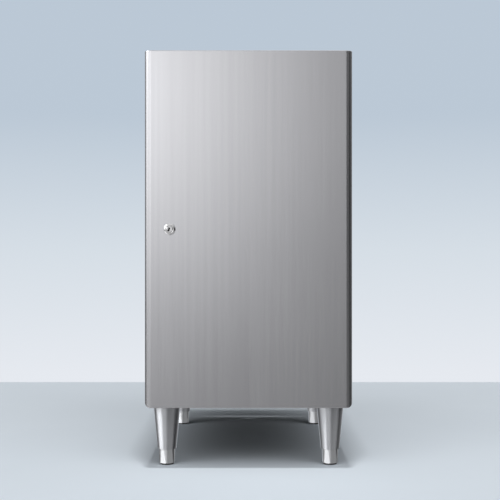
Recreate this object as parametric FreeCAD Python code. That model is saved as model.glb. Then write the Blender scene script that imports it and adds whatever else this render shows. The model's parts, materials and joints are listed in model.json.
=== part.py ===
import FreeCAD, Part
import math
import os

from FreeCAD import Vector

# Floor stand cabinet of an ice and water dispenser, in millimetres.
# +Z is up, +X is to the right as seen from the front, and the door faces -Y.
# The origin is on the floor, at the centre of the overall footprint.

# Cabinet
cabinet_width = 413.0
cabinet_depth = 580.0  # lock's face to the heads of the back panel's screws
cabinet_height = 710.0  # underside to the deck's top face
leg_height = 123.0  # floor to the cabinet's underside
side_sheet = 1.0
stile_width = 28.0  # front flange of a side panel
rear_flange_width = 22.0
tray_sheet = 1.5  # deck and bottom pan
deck_flange = 45.0
pan_flange = 40.0
bend_radius = 1.5  # inside of the bends
hole_clearance = 0.15  # round a fastener's shank

# Deck: mounting holes and the utility cut-out with its turned-down collar
mount_spacing_x = 330.0
mount_spacing_y = 420.0
mount_hole_radius = 4.5
deck_cutout_width = 220.0
deck_cutout_depth = 180.0
deck_cutout_setback = 60.0  # behind the deck's middle
cutout_radius = 10.0
collar_drop = 12.0  # below the deck sheet

# Rubber edge trim and grommets
trim_wall = 1.2
trim_reach = 6.0  # over the sheet
trim_fit = 0.05  # to the sheet's cut edge
grommet_wall = 2.5
grommet_lip = 4.0
grommet_lip_thickness = 1.8
grommet_bores = (9.0, 18.0, 12.0)  # radii: water line, drain hose, power cord
grommet_spacing = 85.0
grommet_rise = 30.0  # above the bottom pan's flange

# Back, in two panels with the service opening between them: the lower one carries the grommets
back_sheet = 1.0
back_margin = 3.0
lower_back_height = 130.0
back_opening_height = 180.0
back_trim_gap = 0.5  # trim to the side panels' flanges
back_screw_pitch = 135.0
back_screw_end = 20.0  # first row from a panel's end
back_screw_head_radius = 4.0
back_screw_head = 2.2
back_screw_radius = 2.1
back_screw_length = 9.0

# Door
door_depth = 27.0
door_sheet = 1.0
door_front_radius = 13.0
door_rear_radius = 3.0
door_corner_radius = 12.0  # bottom corners, seen from the front
door_edge_radius = 1.5  # top and bottom edges, front and sides
door_lip = 24.0
door_top_gap = 1.0  # below the deck's top face
liner_sheet = 1.0
liner_inset = 6.0
stiffener_sheet = 1.0
stiffener_crest = 40.0
stiffener_foot = 16.0
stiffener_end_gap = 8.0
liner_screw_radius = 1.9
liner_screw_length = 7.0
liner_screw_head_radius = 3.6
liner_screw_head = 1.8
liner_screw_pitch = 150.0
bumper_radius = 6.0
bumper_gap = 0.3
bumper_end = 60.0  # from the door's top and bottom

# Continuous hinge on the right
knuckle_radius = 2.2
knuckle_clearance = 0.3  # to the sheet in front of and behind it
knuckle_pitch = 30.0
knuckle_gap = 0.4
hinge_edge_margin = 1.0  # outside the knuckle
hinge_end_gap = 10.0  # above and below the leaves
pin_radius = 1.1
running_clearance = 0.05
leaf_sheet = 1.0
leaf_width = 20.0
leaf_notch_gap = 0.5
rivet_radius = 1.6
rivet_head_radius = 3.0
rivet_head = 1.0
rivet_pitch = 86.0
rivet_end = 21.0  # first rivet from the leaf's end

# Cam lock
lock_inset = 50.3  # axis from the door's left edge
lock_proud = 4.0
lock_head_radius = 11.6
lock_barrel_radius = 9.5
lock_ring_radius = 8.2  # crest of the domed ring
lock_groove_radius = 7.2
lock_groove_depth = 1.0
lock_rim = 1.4  # straight rim between the dome and the door
plug_radius = 5.7
plug_recess = 0.4  # below the lock's face
plug_shoulder = 0.5  # plug past the barrel's end
keyway_width = 1.7
keyway_height = 7.0
keyway_step = 0.9  # sideways offset of the keyway's lower half
keyway_depth = 22.0
keyway_tilt = 22.0  # degrees, clockwise from upright
lock_washer_radius = 13.5
lock_washer_thickness = 1.2
lock_nut_flats = 25.0
lock_nut_thickness = 5.0
lock_access_margin = 4.0  # liner hole round the nut's corners
cam_sheet = 2.0
cam_width = 15.0
cam_overlap = 14.0  # behind the stile when locked
cam_clearance = 0.3
tail_side = 6.8
tail_fit = 0.1
cam_screw_radius = 2.0
cam_screw_length = 8.0
cam_screw_head_radius = 5.0
cam_screw_head = 2.6
strike_sheet = 1.5
strike_height = 76.0
strike_margin = 4.0  # from the side panel
strike_rivet_margin = 8.0  # from the strike's ends

# Legs and levelling feet
leg_margin_x = 12.4  # between the sleeve and the cabinet's side
leg_margin_y = 2.3  # between the sleeve and the cabinet's front or back
sleeve_length = 91.2
sleeve_top_radius = 27.7
sleeve_bottom_radius = 19.0
sleeve_wall = 2.0
sleeve_cap = 3.0
stud_radius = 6.0
stud_head_radius = 10.0
stud_head = 5.0
stud_past_nut = 4.0
gusset_gap = 1.0  # to the bottom pan's bends
gusset_sheet = 3.0
leg_nut_flats = 19.0
leg_nut_thickness = 10.0
insert_recess = 12.0  # above the sleeve's lower rim
insert_length = 20.0
insert_fit = 0.1
foot_stem_radius = 8.0
foot_stem_past_insert = 24.0
foot_clearance = 0.6  # round the collar, inside the sleeve
foot_base_radius = 16.0
foot_inside_sleeve = 2.5
foot_hex_apothem = 14.7  # at the foot's lower end; the flats run out at its collar
foot_edge_radius = 1.5
foot_flat_turn = 28.0  # degrees, a flat turned from the front towards -X
pad_thickness = 3.0
pad_setback = 1.2  # inside the foot's flats
pad_edge = 0.6
pad_spigot_radius = 4.0
pad_spigot_length = 6.0

# Planes and axes that follow from the sizes above
half_width = cabinet_width / 2
inner_x = half_width - side_sheet
base_z = leg_height
deck_z = base_z + cabinet_height
door_top_z = deck_z - door_top_gap
hinge_gap = 2 * (knuckle_radius + knuckle_clearance)
depth_before_sides = lock_proud + door_depth + liner_sheet + hinge_gap
side_depth = cabinet_depth - depth_before_sides - back_sheet - back_screw_head
lock_face_y = -cabinet_depth / 2
door_front_y = lock_face_y + lock_proud
door_rear_y = door_front_y + door_depth
liner_rear_y = door_rear_y + liner_sheet
carcass_y = liner_rear_y + hinge_gap
side_rear_y = carcass_y + side_depth
back_outer_y = side_rear_y + back_sheet
tray_span_x = (-inner_x, inner_x)
tray_span_y = (carcass_y + side_sheet, side_rear_y - side_sheet)
carcass_mid_y = carcass_y + side_depth / 2
hinge_x = half_width - knuckle_radius - hinge_edge_margin
hinge_y = carcass_y - hinge_gap / 2
hinge_bottom_z = base_z + hinge_end_gap
hinge_top_z = door_top_z - hinge_end_gap
rivet_x = hinge_x - (knuckle_radius + leaf_width) / 2
lock_x = lock_inset - half_width
lock_z = (base_z + door_top_z) / 2
strike_rear_y = carcass_y + side_sheet + strike_sheet
cam_front_y = strike_rear_y + cam_clearance
barrel_end_y = cam_front_y - plug_shoulder
leg_x = half_width - leg_margin_x - sleeve_top_radius
leg_inset_y = leg_margin_y + sleeve_top_radius
leg_front_y = carcass_y + leg_inset_y
leg_rear_y = side_rear_y - leg_inset_y
leg_places = {
    "front_left": Vector(-leg_x, leg_front_y, 0),
    "front_right": Vector(leg_x, leg_front_y, 0),
    "rear_left": Vector(-leg_x, leg_rear_y, 0),
    "rear_right": Vector(leg_x, leg_rear_y, 0),
}
sleeve_bottom_height = leg_height - sleeve_length
insert_z = sleeve_bottom_height + insert_recess
insert_top_z = insert_z + insert_length
foot_collar_radius = sleeve_bottom_radius - sleeve_wall - foot_clearance
pad_radius = foot_hex_apothem - pad_setback
origin = Vector(0, 0, 0)
along_x = Vector(1, 0, 0)
along_y = Vector(0, 1, 0)
along_z = Vector(0, 0, 1)
spare = 1.0  # how far a cutting tool passes a face
same_place = 1e-6  # places closer than this are one


def box(x_span, y_span, z_span):
    corner = Vector(x_span[0], y_span[0], z_span[0])
    sizes = [span[1] - span[0] for span in (x_span, y_span, z_span)]
    return Part.makeBox(*sizes, corner)


def rod(radius, start, axis, length):
    return Part.makeCylinder(radius, length, start, axis)


def join(shapes):
    return shapes[0].multiFuse(shapes[1:]).removeSplitter()


def edges_along(shape, axis):
    return [e for e in shape.Edges if e.tangentAt(e.FirstParameter).cross(axis).Length < same_place]


def edges_near(shape, axis, place):
    # edges that lie in the plane square to an axis at a given place
    return [
        e for e in shape.Edges if all(abs(v.Point.dot(axis) - place) < same_place for v in e.Vertexes)
    ]


def hexagon(apothem, height, turn):
    # hexagon with one flat turned away from the front, at a height
    corner_radius = apothem / math.cos(math.pi / 6)
    angles = [math.radians(-90 - turn + 30 + 60 * k) for k in range(7)]
    return Part.makePolygon(
        [Vector(corner_radius * math.cos(a), corner_radius * math.sin(a), height) for a in angles]
    )


def rounded_slab(width, depth, radius, thickness):
    # slab on the XY plane, centred on the Z axis
    slab = box((-width / 2, width / 2), (-depth / 2, depth / 2), (0, thickness))
    return slab.makeFillet(radius, edges_along(slab, along_z))


def slab_ring(width, depth, radius, grow_in, grow_out, z_span):
    # frame round a rounded rectangle, grown inwards and outwards from its outline
    thickness = z_span[1] - z_span[0]
    outer = rounded_slab(width + 2 * grow_out, depth + 2 * grow_out, radius + grow_out, thickness)
    inner = rounded_slab(width - 2 * grow_in, depth - 2 * grow_in, radius - grow_in, thickness)
    ring = outer.cut(inner)
    ring.translate(along_z * z_span[0])
    return ring


def stand_up(shape, place):
    # turn a piece that lies on the XY plane so that its top faces the back, and move it
    shape.rotate(origin, along_x, -90)
    shape.translate(place)
    return shape


def screw(seat, axis, head_radius, head_height, shank_radius, shank_length):
    # round-headed screw: the head stands against the axis, the shank runs along it
    head = rod(head_radius, seat - axis * head_height, axis, head_height)
    crown = [e for e in head.Edges if e.Closed and abs((e.CenterOfMass - seat).dot(axis)) > head_height / 2]
    head = head.makeFillet(head_height / 2, crown)
    return head.fuse(rod(shank_radius, seat, axis, shank_length)).removeSplitter()


def rivet(seat, axis, grip):
    head = screw(seat, axis, rivet_head_radius, rivet_head, rivet_radius, grip + rivet_head)
    tail = rod(rivet_head_radius, seat + axis * grip, axis, rivet_head)
    return head.fuse(tail).removeSplitter()


def hole(radius, place, axis, reach):
    return rod(radius + hole_clearance, place - axis * reach, axis, 2 * reach)


def spaced(first, last, pitch):
    # evenly spaced places from first to last, about one pitch apart
    count = max(1, round((last - first) / pitch))
    return [first + (last - first) * k / count for k in range(count + 1)]


# Places of the fasteners
moving_rivet_heights = spaced(hinge_bottom_z + rivet_end, hinge_top_z - rivet_end, rivet_pitch)
fixed_rivet_heights = [
    (low + high) / 2 for low, high in zip(moving_rivet_heights, moving_rivet_heights[1:])
]
strike_rivet_x = -half_width + (strike_margin + side_sheet + stile_width) / 2
strike_rivet_reach = strike_height / 2 - strike_rivet_margin
strike_rivet_seats = [
    Vector(strike_rivet_x, carcass_y, lock_z + side * strike_rivet_reach) for side in (-1, 1)
]
back_opening_z = base_z + back_margin + lower_back_height
back_opening_top_z = back_opening_z + back_opening_height
lower_back_span = (base_z + back_margin, back_opening_z)
upper_back_span = (back_opening_top_z, deck_z - back_margin)
back_screw_x = half_width - rear_flange_width / 2
back_screw_seats = [
    Vector(side * back_screw_x, back_outer_y, z)
    for side in (-1, 1)
    for low, high in (lower_back_span, upper_back_span)
    for z in spaced(low + back_screw_end, high - back_screw_end, back_screw_pitch)
]
lip_middle = (door_sheet + door_lip + liner_inset) / 2
liner_screw_rows = spaced(base_z + lip_middle, door_top_z - lip_middle, liner_screw_pitch)
liner_screw_columns = spaced(lip_middle - half_width, half_width - 2 * door_lip, liner_screw_pitch)
liner_screw_seats = [Vector(lip_middle - half_width, liner_rear_y, z) for z in liner_screw_rows]
liner_screw_seats += [
    Vector(x, liner_rear_y, z)
    for x in liner_screw_columns[1:]
    for z in (base_z + lip_middle, door_top_z - lip_middle)
]
grommet_places = [
    Vector((k - 1) * grommet_spacing, side_rear_y, base_z + pan_flange + grommet_rise)
    for k in range(len(grommet_bores))
]


def tray(z_span, sheet, opens_up):
    # welded pan between the side panels: a plate with a flange on all four sides
    rim_z = z_span[1] if opens_up else z_span[0]
    outer = box(tray_span_x, tray_span_y, z_span)
    rim = [e.hashCode() for e in edges_near(outer, along_z, rim_z)]
    outer = outer.makeFillet(bend_radius + sheet, [e for e in outer.Edges if e.hashCode() not in rim])
    inner_z = (z_span[0] + sheet, z_span[1]) if opens_up else (z_span[0], z_span[1] - sheet)
    inner_spans = [(span[0] + sheet, span[1] - sheet) for span in (tray_span_x, tray_span_y)]
    inner = box(*inner_spans, inner_z)
    rim = [e.hashCode() for e in edges_near(inner, along_z, rim_z)]
    inner = inner.makeFillet(bend_radius, [e for e in inner.Edges if e.hashCode() not in rim])
    screws = [hole(back_screw_radius, p, along_y, back_screw_length) for p in back_screw_seats]
    return outer.cut(inner).cut(screws)


def side_panel(side):
    # web with a stile at the front and a flange at the rear
    z_span = (base_z, deck_z)
    outer = box((half_width - stile_width, half_width), (carcass_y, side_rear_y), z_span)
    bends = [e for e in edges_along(outer, along_z) if e.CenterOfMass.x > inner_x]
    outer = outer.makeFillet(bend_radius + side_sheet, bends)
    inner_y = (carcass_y + side_sheet, side_rear_y - side_sheet)
    inner = box((half_width - stile_width, inner_x), inner_y, z_span)
    bends = [e for e in edges_along(inner, along_z) if e.CenterOfMass.x > inner_x - side_sheet]
    inner = inner.makeFillet(bend_radius, bends)
    trimmed = box(
        (half_width - stile_width, half_width - rear_flange_width),
        (side_rear_y - side_sheet, side_rear_y),
        z_span,
    )
    panel = outer.cut(inner).cut(trimmed)
    if side < 0:
        panel = panel.mirror(origin, along_x)
    seats = [p for p in back_screw_seats if p.x * side > 0]
    return panel.cut([hole(back_screw_radius, p, along_y, back_screw_length) for p in seats])


def left_side_panel():
    rivets = [hole(rivet_radius, p, along_y, 2 * side_sheet) for p in strike_rivet_seats]
    return side_panel(-1).cut(rivets)


def right_side_panel():
    seats = [Vector(rivet_x, carcass_y, z) for z in fixed_rivet_heights]
    return side_panel(1).cut([hole(rivet_radius, p, along_y, 2 * side_sheet) for p in seats])


deck_cutout_place = Vector(0, carcass_mid_y + deck_cutout_setback, 0)
collar_bottom_z = deck_z - tray_sheet - collar_drop


def top_deck():
    deck = tray((deck_z - deck_flange, deck_z), tray_sheet, False)
    collar = slab_ring(
        deck_cutout_width, deck_cutout_depth, cutout_radius, 0, tray_sheet, (collar_bottom_z, deck_z)
    )
    opening = rounded_slab(deck_cutout_width, deck_cutout_depth, cutout_radius, 2 * collar_drop)
    opening.translate(along_z * (deck_z - collar_drop))
    for piece in (collar, opening):
        piece.translate(deck_cutout_place)
    deck = deck.fuse(collar).removeSplitter().cut(opening)
    holes = [
        rod(mount_hole_radius, Vector(x, carcass_mid_y + y, deck_z - deck_flange), along_z, 2 * deck_flange)
        for x in (-mount_spacing_x / 2, mount_spacing_x / 2)
        for y in (-mount_spacing_y / 2, mount_spacing_y / 2)
    ]
    return deck.cut(holes)


def deck_edge_trim():
    # rubber channel pushed up over the collar's lower edge
    size = (deck_cutout_width, deck_cutout_depth, cutout_radius)
    z_span = (collar_bottom_z - trim_wall, collar_bottom_z + trim_reach)
    trim = slab_ring(*size, trim_wall, tray_sheet + trim_wall, z_span)
    groove = slab_ring(*size, trim_fit, tray_sheet + trim_fit, (collar_bottom_z, z_span[1]))
    trim = trim.cut(groove)
    trim.translate(deck_cutout_place)
    return trim


def bottom_pan():
    pan = tray((base_z, base_z + pan_flange), tray_sheet, True)
    seats = [place + along_z * base_z for place in leg_places.values()]
    return pan.cut([hole(stud_radius, seat, along_z, pan_flange) for seat in seats])


def back_sheet_panel(z_span):
    x_span = (back_margin - half_width, half_width - back_margin)
    panel = box(x_span, (side_rear_y, back_outer_y), z_span)
    return panel.cut([hole(back_screw_radius, p, along_y, back_screw_length) for p in back_screw_seats])


def back_panel():
    return back_sheet_panel(upper_back_span)


def lower_back_panel():
    reach = back_sheet + 2 * spare
    cuts = [
        rod(bore + grommet_wall, place - along_y * spare, along_y, reach)
        for place, bore in zip(grommet_places, grommet_bores)
    ]
    return back_sheet_panel(lower_back_span).cut(cuts)


def back_edge_trim():
    # rubber channel on each panel's edge at the service opening
    reach = half_width - rear_flange_width - back_trim_gap
    x_span = (-reach, reach)
    y_span = (side_rear_y - trim_wall, back_outer_y + trim_wall)
    trims = []
    for edge_z, side in ((back_opening_z, -1), (back_opening_top_z, 1)):
        foot_z = edge_z + side * trim_reach
        channel = box(x_span, y_span, sorted((edge_z - side * trim_wall, foot_z)))
        groove = box(x_span, (side_rear_y, back_outer_y), sorted((edge_z - side * trim_fit, foot_z)))
        trims.append(channel.cut(groove))
    return trims


def back_grommets():
    grommets = []
    for place, bore in zip(grommet_places, grommet_bores):
        start = place - along_y * grommet_lip_thickness
        length = back_sheet + 2 * grommet_lip_thickness
        lips = rod(bore + grommet_wall + grommet_lip, start, along_y, length)
        groove = rod(bore + grommet_wall + grommet_lip + spare, place, along_y, back_sheet)
        neck = rod(bore + grommet_wall, start, along_y, length)
        ring = lips.cut(groove).fuse(neck).removeSplitter()
        grommets.append(ring.cut(rod(bore, start, along_y, length)))
    return grommets


def back_panel_screws():
    sizes = (back_screw_head_radius, back_screw_head, back_screw_radius, back_screw_length)
    return [screw(seat, -along_y, *sizes) for seat in back_screw_seats]


def door_envelope(inset):
    # door block, or the hollow inside its sheet when inset by the sheet
    z_span = (base_z + inset, door_top_z - inset)
    x_span = (inset - half_width, half_width - inset)
    y_span = (door_front_y + inset, door_rear_y - inset)
    block = box(x_span, y_span, z_span)
    upright = edges_near(block, along_y, y_span[0])
    block = block.makeFillet(door_front_radius - inset, edges_along(Part.makeCompound(upright), along_z))
    ends = edges_near(block, along_z, z_span[0]) + edges_near(block, along_z, z_span[1])
    ends = [e for e in ends if e.CenterOfMass.y < y_span[1] - door_rear_radius]
    block = block.makeFillet(door_edge_radius - inset, ends)
    upright = edges_along(Part.makeCompound(edges_near(block, along_y, y_span[1])), along_z)
    block = block.makeFillet(door_rear_radius - inset, upright)
    front = box(x_span, y_span, z_span)
    corners = [e for e in edges_along(front, along_y) if e.CenterOfMass.z < lock_z]
    return block.common(front.makeFillet(door_corner_radius - inset, corners))


def door_skin():
    window = box(
        (door_lip - half_width, half_width - door_lip),
        (door_rear_y - 2 * door_sheet, door_rear_y + spare),
        (base_z + door_lip, door_top_z - door_lip),
    )
    skin = door_envelope(0).cut(door_envelope(door_sheet)).cut(window)
    cuts = [hole(lock_barrel_radius, Vector(lock_x, door_front_y, lock_z), along_y, 2 * door_sheet)]
    reach = liner_screw_length + spare
    cuts += [hole(liner_screw_radius, seat, along_y, reach) for seat in liner_screw_seats]
    seats = [Vector(rivet_x, liner_rear_y, z) for z in moving_rivet_heights]
    cuts += [hole(rivet_radius, seat, along_y, 3 * door_sheet) for seat in seats]
    return skin.cut(cuts)


def door_liner():
    x_span = (liner_inset - half_width, half_width - liner_inset)
    liner = box(x_span, (door_rear_y, liner_rear_y), (base_z + liner_inset, door_top_z - liner_inset))
    corners = [e for e in edges_along(liner, along_y) if e.CenterOfMass.z < lock_z]
    liner = liner.makeFillet(door_corner_radius - liner_inset, corners)
    access = lock_nut_flats / 2 / math.cos(math.pi / 6) + lock_access_margin
    cuts = [rod(access, Vector(lock_x, door_rear_y - spare, lock_z), along_y, liner_sheet + 2 * spare)]
    cuts += [hole(liner_screw_radius, seat, along_y, 2 * liner_sheet) for seat in liner_screw_seats]
    seats = [Vector(rivet_x, liner_rear_y, z) for z in moving_rivet_heights]
    cuts += [hole(rivet_radius, seat, along_y, 2 * liner_sheet) for seat in seats]
    return liner.cut(cuts)


def door_stiffener():
    # upright hat section between the skin and the liner
    z_span = (base_z + door_lip + stiffener_end_gap, door_top_z - door_lip - stiffener_end_gap)
    crest_y = door_front_y + door_sheet
    crest = box((-stiffener_crest / 2, stiffener_crest / 2), (crest_y, door_rear_y), z_span)
    hollow = box(
        (stiffener_sheet - stiffener_crest / 2, stiffener_crest / 2 - stiffener_sheet),
        (crest_y + stiffener_sheet, door_rear_y),
        z_span,
    )
    reach = stiffener_crest / 2 + stiffener_foot
    feet = box((-reach, reach), (door_rear_y - stiffener_sheet, door_rear_y), z_span)
    return crest.fuse(feet).removeSplitter().cut(hollow)


def liner_screws():
    sizes = (liner_screw_head_radius, liner_screw_head, liner_screw_radius, liner_screw_length)
    return [screw(seat, -along_y, *sizes) for seat in liner_screw_seats]


def door_bumpers():
    x = stile_width / 2 - half_width
    height = hinge_gap - bumper_gap
    bumpers = []
    for z in (base_z + bumper_end, door_top_z - bumper_end):
        button = rod(bumper_radius, Vector(x, liner_rear_y, z), along_y, height)
        crown = [e for e in button.Edges if e.Closed and e.CenterOfMass.y > liner_rear_y + spare]
        bumpers.append(button.makeFillet(height / 3, crown))
    return bumpers


knuckle_count = 2 * round((hinge_top_z - hinge_bottom_z) / knuckle_pitch / 2) + 1
knuckle_step = (hinge_top_z - hinge_bottom_z) / knuckle_count


def hinge_leaf(side, first, rivet_heights):
    # leaf with every second knuckle; side is -1 towards the door and 1 towards the cabinet
    notch_x = hinge_x - knuckle_radius - leaf_notch_gap
    face_y = hinge_y + side * hinge_gap / 2
    y_span = sorted((face_y, face_y - side * leaf_sheet))
    solids = [box((hinge_x - leaf_width, notch_x), y_span, (hinge_bottom_z, hinge_top_z))]
    for k in range(first, knuckle_count, 2):
        low = hinge_bottom_z + knuckle_step * k + knuckle_gap / 2
        length = knuckle_step - knuckle_gap
        solids.append(rod(knuckle_radius, Vector(hinge_x, hinge_y, low), along_z, length))
        solids.append(box((notch_x, hinge_x), y_span, (low, low + length)))
    leaf = join(solids)
    bore = rod(
        pin_radius + running_clearance,
        Vector(hinge_x, hinge_y, hinge_bottom_z - spare),
        along_z,
        hinge_top_z - hinge_bottom_z + 2 * spare,
    )
    holes = [hole(rivet_radius, Vector(rivet_x, face_y, z), along_y, 2 * leaf_sheet) for z in rivet_heights]
    return leaf.cut([bore] + holes)


def hinge_pin():
    return rod(pin_radius, Vector(hinge_x, hinge_y, hinge_bottom_z), along_z, hinge_top_z - hinge_bottom_z)


def hinge_fixed_rivets():
    seat_y = carcass_y - leaf_sheet
    grip = leaf_sheet + side_sheet
    return [rivet(Vector(rivet_x, seat_y, z), along_y, grip) for z in fixed_rivet_heights]


def hinge_moving_rivets():
    seat_y = liner_rear_y + leaf_sheet
    grip = leaf_sheet + liner_sheet + door_sheet
    return [rivet(Vector(rivet_x, seat_y, z), -along_y, grip) for z in moving_rivet_heights]


def lock_housing():
    # turned about the lock's axis: radius along X, then the profile is stood along Y
    bore = plug_radius + running_clearance
    dome_z = lock_proud - lock_rim
    dome = Part.Arc(
        Vector(lock_head_radius, 0, lock_rim),
        Vector(
            lock_ring_radius + (lock_head_radius - lock_ring_radius) * math.cos(math.pi / 4),
            0,
            lock_rim + dome_z * math.sin(math.pi / 4),
        ),
        Vector(lock_ring_radius, 0, lock_proud),
    ).toShape()
    inner = [
        Vector(lock_ring_radius, 0, lock_proud),
        Vector(lock_groove_radius, 0, lock_proud - lock_groove_depth),
        Vector(bore, 0, lock_proud - lock_groove_depth),
        Vector(bore, 0, door_front_y - barrel_end_y),
        Vector(lock_barrel_radius, 0, door_front_y - barrel_end_y),
        Vector(lock_barrel_radius, 0, 0),
        Vector(lock_head_radius, 0, 0),
        Vector(lock_head_radius, 0, lock_rim),
    ]
    profile = Part.Face(Part.Wire([dome] + Part.makePolygon(inner).Edges))
    housing = profile.revolve(origin, along_z, 360)
    housing.rotate(origin, along_x, 90)
    housing.translate(Vector(lock_x, door_front_y, lock_z))
    return housing


def lock_washer():
    seat = Vector(lock_x, door_front_y + door_sheet, lock_z)
    washer = rod(lock_washer_radius, seat, along_y, lock_washer_thickness)
    return washer.cut(hole(lock_barrel_radius, seat, along_y, 2 * lock_washer_thickness))


def hex_nut(flats, thickness, bore):
    blank = Part.Face(hexagon(flats / 2, 0, 0)).extrude(along_z * thickness)
    return blank.cut(hole(bore, origin, along_z, 2 * thickness))


def lock_nut():
    nut = hex_nut(lock_nut_flats, lock_nut_thickness, lock_barrel_radius)
    return stand_up(nut, Vector(lock_x, door_front_y + door_sheet + lock_washer_thickness, lock_z))


def lock_plug():
    # round plug with a stepped keyway in front and a square tail behind
    face_y = lock_face_y + plug_recess
    plug = rod(plug_radius, Vector(lock_x, face_y, lock_z), along_y, cam_front_y - face_y)
    tail = box(
        (lock_x - tail_side / 2, lock_x + tail_side / 2),
        (cam_front_y - spare, cam_front_y + cam_sheet - tail_fit),
        (lock_z - tail_side / 2, lock_z + tail_side / 2),
    )
    tail_end = Vector(lock_x, cam_front_y + cam_sheet, lock_z)
    bore = hole(cam_screw_radius, tail_end, along_y, cam_screw_length + spare)
    y_span = (face_y - spare, face_y + keyway_depth)
    upper = box((-keyway_width / 2, keyway_width / 2), y_span, (0, keyway_height / 2))
    lower = box(
        (-keyway_width / 2 - keyway_step, keyway_width / 2 - keyway_step),
        y_span,
        (-keyway_height / 2, keyway_step),
    )
    keyway = upper.fuse(lower)
    keyway.rotate(origin, along_y, keyway_tilt)
    keyway.translate(Vector(lock_x, 0, lock_z))
    return plug.fuse(tail).removeSplitter().cut([bore, keyway])


def lock_cam():
    # flat arm that points up when unlocked
    reach = lock_inset - stile_width + cam_overlap
    y_span = (cam_front_y, cam_front_y + cam_sheet)
    arm = box((lock_x - cam_width / 2, lock_x + cam_width / 2), y_span, (lock_z, lock_z + reach))
    tip = [e for e in edges_along(arm, along_y) if e.CenterOfMass.z > lock_z + reach / 2]
    arm = arm.makeFillet(cam_width / 4, tip)
    hub = rod(cam_width / 2, Vector(lock_x, cam_front_y, lock_z), along_y, cam_sheet)
    half_tail = tail_side / 2 + tail_fit
    eye = box((lock_x - half_tail, lock_x + half_tail), y_span, (lock_z - half_tail, lock_z + half_tail))
    return arm.fuse(hub).removeSplitter().cut(eye)


def lock_cam_screw():
    seat = Vector(lock_x, cam_front_y + cam_sheet, lock_z)
    return screw(seat, -along_y, cam_screw_head_radius, cam_screw_head, cam_screw_radius, cam_screw_length)


def strike_plate():
    # doubler behind the left stile, where the cam bears
    x_span = (strike_margin + side_sheet - half_width, stile_width - half_width)
    z_span = (lock_z - strike_height / 2, lock_z + strike_height / 2)
    plate = box(x_span, (carcass_y + side_sheet, strike_rear_y), z_span)
    return plate.cut([hole(rivet_radius, p, along_y, 3 * strike_sheet) for p in strike_rivet_seats])


def strike_rivets():
    return [rivet(seat, along_y, side_sheet + strike_sheet) for seat in strike_rivet_seats]


def sleeve_radius(z):
    slope = (sleeve_top_radius - sleeve_bottom_radius) / (leg_height - sleeve_bottom_height)
    return sleeve_bottom_radius + slope * (z - sleeve_bottom_height)


def cone(low_z, high_z, grow):
    radii = (sleeve_radius(low_z) + grow, sleeve_radius(high_z) + grow)
    return Part.makeCone(*radii, high_z - low_z, along_z * low_z)


def leg_sleeve():
    # tapered tube closed by a cap that bears on the bottom pan
    sleeve = cone(sleeve_bottom_height, leg_height, 0)
    sleeve = sleeve.cut(cone(sleeve_bottom_height, leg_height - sleeve_cap, -sleeve_wall))
    return sleeve.cut(hole(stud_radius, along_z * leg_height, along_z, 2 * sleeve_cap))


def leg_stud():
    seat = along_z * (leg_height - sleeve_cap)
    length = sleeve_cap + tray_sheet + gusset_sheet + leg_nut_thickness + stud_past_nut
    return screw(seat, along_z, stud_head_radius, stud_head, stud_radius, length)


def leg_gusset():
    seat_z = base_z + tray_sheet
    side = 2 * (leg_inset_y - side_sheet - tray_sheet - bend_radius - gusset_gap)
    plate = rounded_slab(side, side, bend_radius, gusset_sheet)
    plate.translate(along_z * seat_z)
    return plate.cut(hole(stud_radius, along_z * seat_z, along_z, 2 * gusset_sheet))


def leg_nut():
    nut = hex_nut(leg_nut_flats, leg_nut_thickness, stud_radius)
    nut.translate(along_z * (base_z + tray_sheet + gusset_sheet))
    return nut


def leg_insert():
    # threaded bush fixed inside the sleeve
    bush = cone(insert_z, insert_top_z, -sleeve_wall - insert_fit)
    return bush.cut(rod(foot_stem_radius + running_clearance, along_z * insert_z, along_z, insert_length))


def levelling_foot():
    # slight taper with six flats that run out at the collar, and a stem that screws into the insert
    collar_z = sleeve_bottom_height + foot_inside_sleeve
    taper = Part.makeCone(
        foot_base_radius, foot_collar_radius, collar_z - pad_thickness, along_z * pad_thickness
    )
    taper = taper.makeFillet(foot_edge_radius, edges_near(taper, along_z, pad_thickness))
    flats = Part.makeLoft(
        [
            hexagon(foot_hex_apothem, pad_thickness, foot_flat_turn),
            hexagon(foot_collar_radius, collar_z, foot_flat_turn),
        ],
        True,
        True,
    )
    foot = taper.common(flats)
    stem_length = insert_top_z + foot_stem_past_insert - collar_z
    stem = rod(foot_stem_radius, along_z * (collar_z - spare), along_z, stem_length + spare)
    socket = rod(
        pad_spigot_radius + running_clearance, along_z * pad_thickness, along_z, pad_spigot_length + spare
    )
    return foot.fuse(stem).removeSplitter().cut(socket)


def foot_pad():
    disc = rod(pad_radius, origin, along_z, pad_thickness)
    disc = disc.makeChamfer(pad_edge, edges_near(disc, along_z, 0))
    spigot = rod(pad_spigot_radius, origin, along_z, pad_thickness + pad_spigot_length)
    return disc.fuse(spigot).removeSplitter()


def at_each_leg(shape):
    copies = []
    for place in leg_places.values():
        copy = shape.copy()
        copy.translate(place)
        copies.append(copy)
    return copies


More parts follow.
